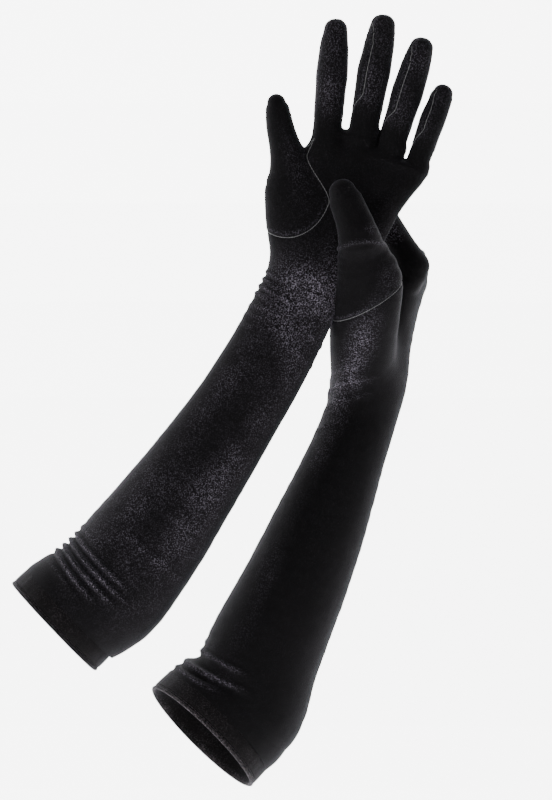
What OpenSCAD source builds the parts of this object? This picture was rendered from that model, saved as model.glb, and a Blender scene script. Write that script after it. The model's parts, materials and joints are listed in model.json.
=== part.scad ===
// A pair of long stretch-velvet opera gloves in their worn pose. The left glove shows its
// open palm; the right glove holds it, thumb in front of the palm and fingers behind it.
// +X points right across the pair, +Y points from the left palm to its back, +Z points up.
// The origin is the centre of the left glove's arm opening.

/* [Fabric] */
// Thickness of the pile fabric
wall = 1.2; // [0.8:0.1:2]
// Gap on each side of a bending line, between the sleeve pieces that meet there
bend_gap = 0.4; // [0.3:0.05:1]

/* [Hem] */
// Width of the turned hem
hem_w = 14; // [10:1:18]
// Thickness of each leaf of the turned hem
hem_leaf = 0.8; // [0.6:0.1:1.2]
// Width of the elastic inside the hem
elastic_w = 9; // [6:0.5:9.5]
// Thickness of the elastic inside the hem
elastic_t = 1; // [0.6:0.1:1.6]
// Outer diameter of the left hem, stretched on the arm
left_hem_d = 92; // [76:1:100]
// Outer diameter of the right hem, stretched higher on the arm
right_hem_d = 107; // [88:1:128]

/* [Sleeve] */
// Distance from the left hem to the elbow's bending line
left_cuff_len = 46; // [44:1:60]
// Distance from the right hem to the elbow's bending line
right_cuff_len = 38; // [36:1:52]
// Distance from the elbow's bending line to the wrist's
forearm_len = 264; // [210:1:320]
// Width of the sleeve at the elbow
elbow_w = 92; // [76:1:96]
// How far the forearm's centre line bows outwards
forearm_bow = 6; // [0:0.5:10]

/* [Hand] */
// Width of the left wrist, seen on its flat side
wrist_w = 61; // [48:1:66]
// Thickness of the left wrist
wrist_t = 40; // [32:1:44]
// Width of the right wrist, seen on its edge
right_wrist_t = 54; // [42:1:60]
// Thickness of the hand under the fingers
palm_t = 25; // [22:0.5:30]
// Distance from the wrist's bending line to the middle finger's root
palm_len = 144; // [118:1:174]
// Distance from the right wrist's bending line to its knuckles
right_palm_len = 92; // [80:1:115]

/* [Fingers] */
// Width of the index, middle and ring fingers
finger_w = 22.4; // [18:0.2:27]
// Width of the little finger, as a share of the others'
little_share = 0.8; // [0.7:0.02:0.96]
// Gap between neighbouring fingers at their roots
finger_gap = 1.8; // [1.6:0.1:4]
// Thickness of a finger, as a share of its width
finger_flat = 0.92; // [0.8:0.02:1]
// Length of the index finger from its root
index_len = 83; // [68:1:100]
// Length of the middle finger from its root
middle_len = 83; // [68:1:100]
// Length of the ring finger from its root
ring_len = 80; // [65:1:96]
// Length of the little finger from its root
little_len = 61; // [50:1:74]
// Distance from a finger's root to its first bending line
root_rise = 7; // [6:0.5:10]
// Width of the strip set into each side of a finger, in degrees of its section
fourchette_deg = 70; // [40:5:90]

/* [Thumbs] */
// Width of a thumb near its tip
thumb_w = 20.5; // [16:0.5:25]
// Width of a thumb at its seam with the hand
thumb_root_w = 34; // [28:1:38]
// Length of the left thumb beyond its seam
left_thumb_len = 70; // [58:1:84]
// Length of the right thumb beyond its seam
right_thumb_len = 104; // [90:1:115]

/* [Pose] */
// Slope of the left upper arm
left_arm_angle = 34.4; // [30:0.2:40]
// Slope of the left forearm
left_forearm_angle = 56.4; // [52:0.2:60]
// Slope of the left hand
left_hand_angle = 66.5; // [62:0.5:70]
// Slope of the right upper arm
right_arm_angle = 40.4; // [36:0.2:46]
// Slope of the right forearm
right_forearm_angle = 67.8; // [64:0.2:72]
// Slope of the right fingers up to their middle bending line
right_finger_angle = 121; // [112:1:128]
// Further bend of the right fingers beyond that line
right_finger_curl = 42; // [20:1:55]
// Distance of the right hem to the right of the left one
pair_x = 112; // [106:1:140]
// Distance of the right sleeve behind the left one
pair_y = 56; // [54:1:70]
// Distance of the right hem below the left one
pair_drop = 86; // [76:1:100]
// Distance from the palm's middle plane to the right thumb in front of it
thumb_front = 33; // [32:1:40]
// Distance from the palm's middle plane to the right index finger behind it
index_behind = 31; // [30:1:40]

/* [Bending] */
// Bend that the left elbow has room for
left_elbow_bend = 65; // [20:1:66]
// Bend that the right elbow has room for, until the arm is straight
right_elbow_bend = 26; // [10:1:30]
// Bend that the left wrist has room for, towards the thumb
left_wrist_bend = 20; // [10:1:24]
// Bend that the right wrist has room for, towards the back of the hand
right_wrist_bend = 40; // [10:1:44]
// Bend that each finger joint of the left glove has room for
left_finger_bend = 60; // [30:1:60]
// Bend that each finger joint of the right glove has room for
right_finger_bend = 40; // [20:1:44]
// Bend that the thumbs' first joints have room for
thumb_bend = 35; // [20:1:40]

/* [Hidden] */
GLOVES = ["left", "right"];
FINGERS = ["index", "middle", "ring", "little"];
SEGMENTS = ["lower", "upper"];
SLEEVES = ["cuff_front", "cuff_back", "forearm_front", "forearm_back", "palm_panel", "back_panel"];
HEMS = ["hem_band", "hem_elastic"];
left = 0;
right = 1;
velvet = [0.09, 0.09, 0.1];
lining = [0.16, 0.15, 0.16];
elastic = [0.3, 0.3, 0.3];
sleeve_steps = 16;
trank_steps = 5;
fourchette_steps = 2;
thumb_steps = 16;

// Directions, frames and sections ------------------------------------------------

function slope(angle) = [cos(angle), 0, sin(angle)];
function unit(p) = p / norm(p);
function side_of(n) = unit(cross([0, 1, 0], n));
function depth_of(n) = cross(n, side_of(n));
function mid(p, q, share) = p + (q - p) * share;
function ease(t) = (1 - cos(180 * t)) / 2;

// A station is [centre, direction, half width, half depth, cut].
// A cut leans the station's ring away from square: [closing side, slope on that side,
// slope on the other side, offset]. A number table as cut follows the finger roots.
function cut_offset(cut, q) =
    is_undef(cut) ? 0 :
    q * cut[0] > 0 ? cut[1] * (q * cut[0]) + cut[3] : cut[2] * (q * cut[0]) + cut[3];
function ring_point(st, t, inset) =
    let (n = unit(st[1]))
    let (q = side_of(n) * (st[2] - inset) * cos(t) + depth_of(n) * (st[3] - inset) * sin(t))
    let (root = is_undef(st[5]) ? 0 : lookup(q * st[5][0], st[5][1]))
    st[0] + q + n * (cut_offset(st[4], q) + root);

// Ends of two pieces that meet at a bending line
function parent_cut(f, bend, lean = 0) = [f, -tan(bend), tan(lean), -bend_gap];
function child_cut(f, bend, lean = 0) = [f, tan(bend), tan(lean), bend_gap];

// Shell along the stations, between two angles of their sections
module shell(stations, from, to, steps) {
    closed = to - from == 360;
    cols = closed ? steps : steps + 1;
    rows = len(stations);
    each_face = cols * rows;
    function at(row, col, inner) = row * cols + (col % cols) + (inner ? each_face : 0);
    pts = [
        for (inset = [0, wall]) for (st = stations) for (i = [0:cols - 1])
            ring_point(st, from + (to - from) * i / steps, inset)
    ];
    skin = [
        for (r = [0:rows - 2]) for (i = [0:steps - 1]) for (tri = [
            [at(r, i, false), at(r + 1, i, false), at(r + 1, i + 1, false)],
            [at(r, i, false), at(r + 1, i + 1, false), at(r, i + 1, false)],
            [at(r, i, true), at(r + 1, i + 1, true), at(r + 1, i, true)],
            [at(r, i, true), at(r, i + 1, true), at(r + 1, i + 1, true)]
        ]) tri
    ];
    ends = [
        for (i = [0:steps - 1]) for (tri = [
            [at(0, i, false), at(0, i + 1, false), at(0, i + 1, true)],
            [at(0, i, false), at(0, i + 1, true), at(0, i, true)],
            [at(rows - 1, i, false), at(rows - 1, i + 1, true), at(rows - 1, i + 1, false)],
            [at(rows - 1, i, false), at(rows - 1, i, true), at(rows - 1, i + 1, true)]
        ]) tri
    ];
    edges = closed ? [] : [
        for (r = [0:rows - 2]) for (tri = [
            [at(r, 0, false), at(r + 1, 0, true), at(r + 1, 0, false)],
            [at(r, 0, false), at(r, 0, true), at(r + 1, 0, true)],
            [at(r, steps, false), at(r + 1, steps, false), at(r + 1, steps, true)],
            [at(r, steps, false), at(r + 1, steps, true), at(r, steps, true)]
        ]) tri
    ];
    polyhedron(points = pts, faces = concat(skin, ends, edges));
}

// Skeleton -------------------------------------------------------------------------

hem_d = [left_hem_d, right_hem_d];
hem_centre = [[0, 0, 0], [pair_x, pair_y, -pair_drop]];
hem_turn = [43.6, 45];
hem_tilt = [0, 11];
cuff_len = [left_cuff_len, right_cuff_len];
arm_angle = [left_arm_angle, right_arm_angle];
forearm_angle = [left_forearm_angle, right_forearm_angle];
elbow = [for (g = [left, right]) hem_centre[g] + cuff_len[g] * slope(arm_angle[g])];
wrist = [for (g = [left, right]) elbow[g] + forearm_len * slope(forearm_angle[g])];
wrist_a = [wrist_w / 2, right_wrist_t / 2];
wrist_b = [wrist_t / 2, wrist_w / 2];
hand_angle = [left_hand_angle, right_forearm_angle];
palm_angle = [-90, 180];
across_sign = [1, -1];
hand_axis = slope(left_hand_angle);
hand_side = side_of(hand_axis);
finger_pitch = finger_w + finger_gap;
palm_w = 4 * finger_pitch - 4;
hand_shift = 4;

// Sections on the bending lines of the elbow and wrist
elbow_dir = [slope(47), slope(58)];
wrist_dir = [slope(62.5), slope(68)];
function closing_elbow(g) = g == left ? -side_of(elbow_dir[g]) : side_of(elbow_dir[g]);
function closing_wrist(g) = g == left ? -side_of(wrist_dir[g]) : side_of(wrist_dir[g]);
cuff_share = [24, right_elbow_bend / 2];
forearm_share = [left_elbow_bend - 24 + 1, right_elbow_bend / 2 + 1];
wrist_share = [left_wrist_bend / 2 + 0.5, right_wrist_bend / 2 + 0.5];

function hem_dir(g) = [
    cos(hem_tilt[g]) * cos(hem_turn[g]), sin(hem_tilt[g]), cos(hem_tilt[g]) * sin(hem_turn[g])
];

function cuff_stations(g) = [
    [hem_centre[g] + hem_dir(g) * hem_w, hem_dir(g), hem_d[g] / 2, hem_d[g] / 2],
    [elbow[g], elbow_dir[g], elbow_w / 2, elbow_w / 2, parent_cut(closing_elbow(g), cuff_share[g])]
];

function forearm_half(g, t, at_wrist) = at_wrist + (elbow_w / 2 - at_wrist) * (1 - ease(t));
function forearm_point(g, t) = mid(elbow[g], wrist[g], t)
    + side_of(slope(forearm_angle[g])) * forearm_bow * sin(180 * t);
function forearm_stations(g) = [
    [elbow[g], elbow_dir[g], elbow_w / 2, elbow_w / 2, child_cut(closing_elbow(g), forearm_share[g])],
    for (t = [0.24, 0.4, 0.56, 0.72, 0.88])
        [forearm_point(g, t), slope(forearm_angle[g]),
            forearm_half(g, t, wrist_a[g]), forearm_half(g, t, wrist_b[g])],
    [wrist[g], wrist_dir[g], wrist_a[g], wrist_b[g], parent_cut(closing_wrist(g), wrist_share[g])]
];

// Roots of the fingers: along the left hand's axis, and across it
finger_lens = [index_len, middle_len, ring_len, little_len];
finger_ws = [finger_w, finger_w, finger_w, finger_w * little_share];
root_drop = [15, 0, 3, 8];
left_fan = [18, 12.5, 6, 2.4];
function root_across(f) = (f - 1.28) * finger_pitch;
root_line = [
    [-2.2 * finger_pitch, palm_len - 22],
    for (f = [0:3]) [root_across(f), palm_len - root_drop[f]],
    [2.2 * finger_pitch, palm_len - 11]
];
function left_root(f) = wrist[left] + hand_axis * (palm_len - root_drop[f]) + hand_side * root_across(f);
left_finger_dir = [for (f = [0:3]) slope(left_hand_angle + left_fan[f])];

// The right hand bends at its knuckles, and its fingers lie one behind the other
right_knuckle = wrist[right] + right_palm_len * slope(right_forearm_angle + 1);
right_root_mid = right_knuckle + 20 * slope(right_finger_angle - 3);
right_root_drop = [4, 0, 3, 9];
right_finger_gap = 0.8;
right_pitch = finger_w + right_finger_gap;
function right_root(f) =
    [right_root_mid[0], index_behind + f * right_pitch, right_root_mid[2]]
    - right_root_drop[f] * slope(right_finger_angle);
right_hand_y = index_behind + 1.5 * right_pitch;
right_root_line = [
    for (f = [0:3]) [(f - 1.5) * right_pitch, -right_root_drop[f]]
];

function finger_dir(g, f) = g == left ? left_finger_dir[f] : slope(right_finger_angle);
function finger_end_dir(g, f) =
    g == left ? left_finger_dir[f] : slope(right_finger_angle + right_finger_curl);
function finger_root(g, f) = g == left ? left_root(f) : right_root(f);
function knuckle(g, f) = finger_root(g, f) + root_rise * finger_dir(g, f);
function middle_joint(g, f) = finger_root(g, f) + (root_rise + finger_lens[f] * 0.42) * finger_dir(g, f);
function finger_tip(g, f) =
    middle_joint(g, f) + (finger_lens[f] * 0.58 - root_rise) * finger_end_dir(g, f);
function closing_finger(g, n) = g == left ? -depth_of(n) : side_of(n);
finger_bend = [left_finger_bend, right_finger_bend];

function left_hand_stations() = [
    [wrist[left], wrist_dir[left], wrist_a[left], wrist_b[left],
        child_cut(closing_wrist(left), wrist_share[left])],
    for (t = [0.3, 0.5, 0.68])
        [wrist[left] + hand_axis * palm_len * t + hand_side * hand_shift * ease(t), hand_axis,
            mid(wrist_a[left], palm_w / 2, ease(t * 1.2)), mid(wrist_b[left], palm_t / 2, t)],
    [wrist[left] + hand_side * hand_shift, hand_axis, palm_w / 2, palm_t / 2,
        undef, [hand_side, root_line]]
];
right_hand_centre = [right_knuckle[0], right_hand_y, right_knuckle[2]];
right_top = [right_root_mid[0], right_hand_y, right_root_mid[2]];
right_half_w = 2 * right_pitch - 1.5;
function right_hand_stations() = [
    [wrist[right], wrist_dir[right], wrist_a[right], wrist_b[right],
        child_cut(closing_wrist(right), wrist_share[right])],
    [mid(wrist[right], right_hand_centre, 0.34), slope(66), wrist_a[right] * 0.98, wrist_b[right] + 4],
    [mid(wrist[right], right_hand_centre, 0.72), slope(74), palm_t * 0.68, right_half_w - 4],
    [right_hand_centre, slope(94), palm_t * 0.56, right_half_w],
    [right_top, slope(right_finger_angle), finger_w * finger_flat / 2 + 0.4, right_half_w,
        undef, [[0, 1, 0], right_root_line]]
];

// Thumbs: seam with the hand, middle bending line and tip
left_thumb_dir = slope(left_hand_angle + 38);
left_thumb_seam = wrist[left] + hand_axis * palm_len * 0.6 - hand_side * (palm_w / 2 - 5)
    - [0, 5, 0];
right_thumb_seam = [wrist[right][0] + 12, -7, wrist[right][2] + 66];
right_thumb_mid = [wrist[right][0] - 11, -thumb_front, wrist[right][2] + 117];
right_thumb_end = [wrist[right][0] - 27, -thumb_front, wrist[right][2] + 156];
thumb_seam = [left_thumb_seam, right_thumb_seam];
thumb_dir = [left_thumb_dir, unit(right_thumb_mid - right_thumb_seam)];
thumb_len = [left_thumb_len, right_thumb_len];
thumb_mid = [left_thumb_seam + left_thumb_dir * left_thumb_len * 0.56, right_thumb_mid];
thumb_end_dir = [slope(left_hand_angle + 32), unit(right_thumb_end - right_thumb_mid)];
thumb_mid_dir = [for (g = [left, right]) unit(thumb_dir[g] + thumb_end_dir[g])];
thumb_tip = [for (g = [left, right])
    thumb_mid[g] + thumb_end_dir[g] * thumb_len[g] * 0.4];
function closing_thumb(n) = -depth_of(n);

// Sub-parts --------------------------------------------------------------------------

module at_hem(g) {
    translate(hem_centre[g]) rotate([-hem_tilt[g], 90 - hem_turn[g], 0]) children();
}

// Turned hem: outer leaf, fold and inner leaf, open towards the sleeve
module hem_band(g) {
    r = hem_d[g] / 2;
    fold = (hem_w - elastic_w) / 2;
    color(velvet) at_hem(g) rotate_extrude($fn = 96) polygon([
        [r - 2 * hem_leaf - elastic_t, 0],
        [r, 0],
        [r, hem_w],
        [r - hem_leaf, hem_w],
        [r - hem_leaf, fold],
        [r - hem_leaf - elastic_t, fold],
        [r - hem_leaf - elastic_t, hem_w],
        [r - 2 * hem_leaf - elastic_t, hem_w]
    ]);
}

module hem_elastic(g) {
    r = hem_d[g] / 2 - hem_leaf;
    fold = (hem_w - elastic_w) / 2;
    color(elastic) at_hem(g) translate([0, 0, fold]) difference() {
        cylinder(r = r, h = elastic_w, $fn = 96);
        translate([0, 0, -1]) cylinder(r = r - elastic_t, h = elastic_w + 2, $fn = 96);
    }
}

// Half of a sleeve or hand: front is the palm side, back is the other
module half_shell(g, stations, front) {
    centre = palm_angle[g] + (front ? 0 : 180);
    color(velvet) shell(stations, centre - 90, centre + 90, sleeve_steps);
}

// Room for the thumb through the hand's edge
module thumb_hole(g) {
    n = thumb_dir[g];
    translate(thumb_seam[g]) multmatrix([
        [side_of(n)[0], depth_of(n)[0], n[0], 0],
        [side_of(n)[1], depth_of(n)[1], n[1], 0],
        [side_of(n)[2], depth_of(n)[2], n[2], 0],
        [0, 0, 0, 1]
    ]) translate([0, 0, -thumb_root_w]) cylinder(r = thumb_root_w / 2 + 2, h = 3 * thumb_root_w, $fn = 12);
}

module hand_half(g, front) {
    stations = g == left ? left_hand_stations() : right_hand_stations();
    color(velvet) difference() {
        half_shell(g, stations, front);
        thumb_hole(g);
    }
}

function thumb_radius(t) = mid(thumb_root_w / 2, thumb_w / 2, pow(t, 0.7));
function thumb_stations(g, upper) = upper ? [
    [thumb_mid[g], thumb_mid_dir[g], thumb_w / 2 + 1, thumb_w / 2,
        child_cut(closing_thumb(thumb_mid_dir[g]), thumb_bend / 2)],
    for (t = [0.36, 0.7, 0.88, 0.97, 1]) [
        mid(thumb_mid[g], thumb_tip[g], t), thumb_end_dir[g],
        wall + 0.5 + (thumb_w / 2 - wall - 0.5) * sqrt(1 - t * t * t),
        wall + 0.5 + (thumb_w * finger_flat / 2 - wall - 0.5) * sqrt(1 - t * t * t)
    ]
] : [
    [thumb_seam[g], thumb_dir[g], thumb_root_w / 2, thumb_root_w * 0.36,
        child_cut(closing_thumb(thumb_dir[g]), thumb_bend / 2)],
    [mid(thumb_seam[g], thumb_mid[g], 0.45), thumb_dir[g], thumb_w / 2 + 4, thumb_w / 2 + 1.5],
    [mid(thumb_seam[g], thumb_mid[g], 0.75), thumb_dir[g], thumb_w / 2 + 2, thumb_w / 2 + 0.5],
    [thumb_mid[g], thumb_mid_dir[g], thumb_w / 2 + 1, thumb_w / 2,
        parent_cut(closing_thumb(thumb_mid_dir[g]), thumb_bend / 2)]
];

module thumb(g, upper) {
    color(velvet) shell(thumb_stations(g, upper), -180, 180, thumb_steps);
}

function half_across(g, f) = finger_ws[f] / 2 * (g == left ? 1 : finger_flat);
function half_deep(g, f) = finger_ws[f] / 2 * (g == left ? finger_flat : 1);
function finger_stations(g, f, upper) =
    let (n0 = finger_dir(g, f))
    let (n1 = finger_end_dir(g, f))
    let (nm = unit(n0 + n1))
    let (a = half_across(g, f))
    let (b = half_deep(g, f))
    let (half = finger_bend[g] / 2 + 0.5)
    let (core = wall + 0.5)
    upper ? [
        [middle_joint(g, f), nm, a, b, child_cut(closing_finger(g, nm), half)],
        for (t = [0.36, 0.66, 0.86, 0.96, 1]) [
            mid(middle_joint(g, f), finger_tip(g, f), t), n1,
            core + (a * (1 - 0.06 * t) - core) * sqrt(1 - pow(t, 4)),
            core + (b * (1 - 0.06 * t) - core) * sqrt(1 - pow(t, 4))
        ]
    ] : [
        [knuckle(g, f), n0, a, b, child_cut(closing_finger(g, n0), half, 28)],
        [mid(knuckle(g, f), middle_joint(g, f), 0.42), n0, a, b],
        [mid(knuckle(g, f), middle_joint(g, f), 0.62), n0, a, b],
        [middle_joint(g, f), nm, a, b, parent_cut(closing_finger(g, nm), half)]
    ];

// Angles of a finger's strips: centre of the palm side, and which sides have a strip
function strip_sides(f) = [if (f > 0) -1, if (f < 3) 1];
function trank_reach(g, f, sign) = len(search(sign, strip_sides(f))) > 0 ? 90 - fourchette_deg / 2 : 90;

module trank(g, f, upper) {
    towards_index = trank_reach(g, f, -1);
    towards_little = trank_reach(g, f, 1);
    for (front = [true, false]) {
        s = across_sign[g] * (front ? 1 : -1);
        centre = palm_angle[g] + (front ? 0 : 180);
        low = centre - (s > 0 ? towards_index : towards_little);
        high = centre + (s > 0 ? towards_little : towards_index);
        color(velvet) shell(finger_stations(g, f, upper), low, high, trank_steps);
    }
}

module fourchette(g, f, upper) {
    for (side = strip_sides(f)) {
        centre = palm_angle[g] + 90 * side * across_sign[g];
        color(lining) shell(finger_stations(g, f, upper), centre - fourchette_deg / 2,
            centre + fourchette_deg / 2, fourchette_steps);
    }
}

for (g = [left, right]) {
    name = GLOVES[g];
    hem_band(g);
    hem_elastic(g);
    half_shell(g, cuff_stations(g), true);
    half_shell(g, cuff_stations(g), false);
    half_shell(g, forearm_stations(g), true);
    half_shell(g, forearm_stations(g), false);
    hand_half(g, true);
    hand_half(g, false);
    for (s = [0, 1]) {
        thumb(g, s == 1);
        for (f = [0:3]) {
            finger = str(name, "_", FINGERS[f]);
            trank(g, f, s == 1);
            fourchette(g, f, s == 1);
        }
    }
}
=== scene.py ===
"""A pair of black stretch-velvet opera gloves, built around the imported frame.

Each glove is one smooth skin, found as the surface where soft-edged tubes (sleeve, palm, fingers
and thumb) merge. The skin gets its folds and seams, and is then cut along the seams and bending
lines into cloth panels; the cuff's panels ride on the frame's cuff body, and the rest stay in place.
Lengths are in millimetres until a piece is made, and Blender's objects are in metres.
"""
import json
import math

import bpy
import numpy as np
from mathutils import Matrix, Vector, noise


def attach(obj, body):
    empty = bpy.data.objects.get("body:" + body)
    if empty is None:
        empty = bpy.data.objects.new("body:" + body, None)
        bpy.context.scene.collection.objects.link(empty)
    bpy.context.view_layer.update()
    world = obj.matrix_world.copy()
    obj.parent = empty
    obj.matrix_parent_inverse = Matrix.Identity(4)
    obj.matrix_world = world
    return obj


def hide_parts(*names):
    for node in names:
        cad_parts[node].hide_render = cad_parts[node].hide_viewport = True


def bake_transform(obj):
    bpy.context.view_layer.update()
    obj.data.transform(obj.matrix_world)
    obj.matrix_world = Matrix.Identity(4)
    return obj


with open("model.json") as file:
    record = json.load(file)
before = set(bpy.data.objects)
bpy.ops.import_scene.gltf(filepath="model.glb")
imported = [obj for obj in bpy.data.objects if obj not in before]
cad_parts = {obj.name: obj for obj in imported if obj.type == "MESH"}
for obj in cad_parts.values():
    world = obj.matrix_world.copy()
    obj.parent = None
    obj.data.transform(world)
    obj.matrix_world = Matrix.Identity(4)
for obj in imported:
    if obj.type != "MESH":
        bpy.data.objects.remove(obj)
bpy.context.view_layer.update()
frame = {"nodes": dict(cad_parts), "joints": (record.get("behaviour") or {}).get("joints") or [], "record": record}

MM = 1000.0
GLOVES = ("left", "right")
FINGERS = ("index", "middle", "ring", "little")
SEGMENTS = ("lower", "upper")
JOINTS = {j["name"]: j for j in frame["joints"]}
MOUNTS = {m["name"]: m for m in frame["record"]["mounts"]}

# Cloth
WALL = 1.1
GRID = 1.7
SEAM_DEPTH = 0.55
SEAM_WIDTH = 1.15
SEAM_ROLL = 2.4       # how far beside a seam the cloth rolls up
ROLL_HEIGHT = 0.22
ON_SEAM = 0.2
THREAD_HALF = 0.33
THREAD_SIDES = 6
STRETCH = 1.15
FILLED = 0.92       # share of its rectangle that a cut panel takes up
NARROWEST = 0.0105  # metres
HEM_THICK = 2.6
HEM_WIDTH = MOUNTS["left_arm_opening"]["dims"]["length_mm"]

# Forearm of the sleeve: share of the way from elbow to wrist, half width, and how far its
# centre bows outwards
FOREARM = {
    "left": ((0.15, 44.6, 4.2), (0.36, 39.9, 6.8), (0.58, 35.2, 7.4), (0.78, 32.8, 6.0)),
    "right": ((0.15, 44.6, 1.2), (0.36, 40.4, 3.6), (0.58, 35.4, 4.4), (0.8, 29.2, 3.2)),
}

# Hand
FINGER_HALF = {"index": 11.7, "middle": 12.1, "ring": 11.7, "little": 9.4}
FINGER_FLAT = 0.93
FINGER_LEAN = (-0.8, -0.8, 0.0, -1.4)
THUMB_HALF = 9.6
FAR = 60.0


# ---------------------------------------------------------------- small helpers

def vec(*numbers):
    return np.array(numbers, float)


def unit(v):
    return v / np.linalg.norm(v)


def mix(a, b, t):
    return a + (b - a) * t


def smoothstep(low, high, x):
    t = np.clip((x - low) / (high - low), 0, 1)
    return t * t * (3 - 2 * t)


def side_of(n):
    return unit(np.cross(vec(0, 1, 0), n))


def smin(a, b, k):
    h = np.maximum(k - np.abs(a - b), 0) / k
    return np.minimum(a, b) - h * h * k / 4


def joint(name):
    return np.array(JOINTS[name]["pos_m"]) * MM


def tip_of(node, start):
    """The far end of a CAD node, seen from a joint."""
    points = np.array([v.co for v in frame["nodes"][node].data.vertices]) * MM
    away = np.linalg.norm(points - start, axis=1)
    return points[away > away.max() - 2.0].mean(0)


def wrap(degrees):
    return (degrees + 180) % 360 - 180


# ---------------------------------------------------------------- tubes

class Tube:
    """A bent tube with elliptical sections. Each station is (centre, half width, half depth):
    the width lies in the plane of X and Z, and the depth across it."""

    def __init__(self, stations, spacing=9.0, cap=1.0):
        rows = np.array([[*c, a, b] for c, a, b in stations], float)
        self.rows = self.smooth(rows, spacing)
        self.cap = cap
        centre = self.rows[:, :3]
        step = np.diff(centre, axis=0)
        self.length = np.concatenate([[0], np.cumsum(np.linalg.norm(step, axis=1))])
        way = np.gradient(centre, axis=0)
        self.way = way / np.linalg.norm(way, axis=1)[:, None]

    @staticmethod
    def smooth(rows, spacing):
        """Catmull-Rom curve through the stations, in steps of about spacing."""
        out = []
        ends = np.vstack([2 * rows[0] - rows[1], rows, 2 * rows[-1] - rows[-2]])
        for p0, p1, p2, p3 in zip(ends, ends[1:], ends[2:], ends[3:]):
            count = max(1, round(float(np.linalg.norm(p2[:3] - p1[:3])) / spacing))
            for t in np.arange(count) / count:
                out.append(0.5 * (2 * p1 + (p2 - p0) * t + (2 * p0 - 5 * p1 + 4 * p2 - p3) * t ** 2
                                  + (3 * p1 - p0 - 3 * p2 + p3) * t ** 3))
        return np.array(out + [rows[-1]])

    def measure(self, points, everywhere=False):
        """Distance from the tube's surface, and where the point lies: length along the tube,
        and its place across the width and the depth."""
        best = np.full(len(points), FAR)
        place = np.zeros((len(points), 3))
        for k in range(len(self.rows) - 1):
            p0, p1 = self.rows[k], self.rows[k + 1]
            reach = 20 + max(p0[3:].max(), p1[3:].max())
            if everywhere:
                near = np.arange(len(points))
            else:
                low = np.minimum(p0[:3], p1[:3]) - reach
                high = np.maximum(p0[:3], p1[:3]) + reach
                near = np.flatnonzero(((points > low) & (points < high)).all(1))
            if not len(near):
                continue
            q = points[near]
            run = p1[:3] - p0[:3]
            t = np.clip((q - p0[:3]) @ run / (run @ run), 0, 1)
            here = mix(p0[None], p1[None], t[:, None])
            n = mix(self.way[k][None], self.way[k + 1][None], t[:, None])
            n /= np.linalg.norm(n, axis=1)[:, None]
            u = np.stack([n[:, 2], 0 * t, -n[:, 0]], 1)
            u /= np.linalg.norm(u, axis=1)[:, None]
            v = np.cross(n, u)
            rel = q - here[:, :3]
            s, d, l = (rel * u).sum(1), (rel * v).sum(1), (rel * n).sum(1)
            a, b = here[:, 3], here[:, 4]
            c = np.minimum(a, b) * self.cap
            k0 = np.sqrt((s / a) ** 2 + (d / b) ** 2 + (l / c) ** 2) + 1e-9
            k1 = np.sqrt((s / a ** 2) ** 2 + (d / b ** 2) ** 2 + (l / c ** 2) ** 2) + 1e-9
            dist = k0 * (k0 - 1) / k1
            closer = dist < best[near]
            hit = near[closer]
            best[hit] = dist[closer]
            place[hit, 0] = (self.length[k] + t * (self.length[k + 1] - self.length[k]))[closer]
            place[hit, 1], place[hit, 2] = s[closer], d[closer]
        return best, place


# ---------------------------------------------------------------- skeleton of each glove

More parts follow.
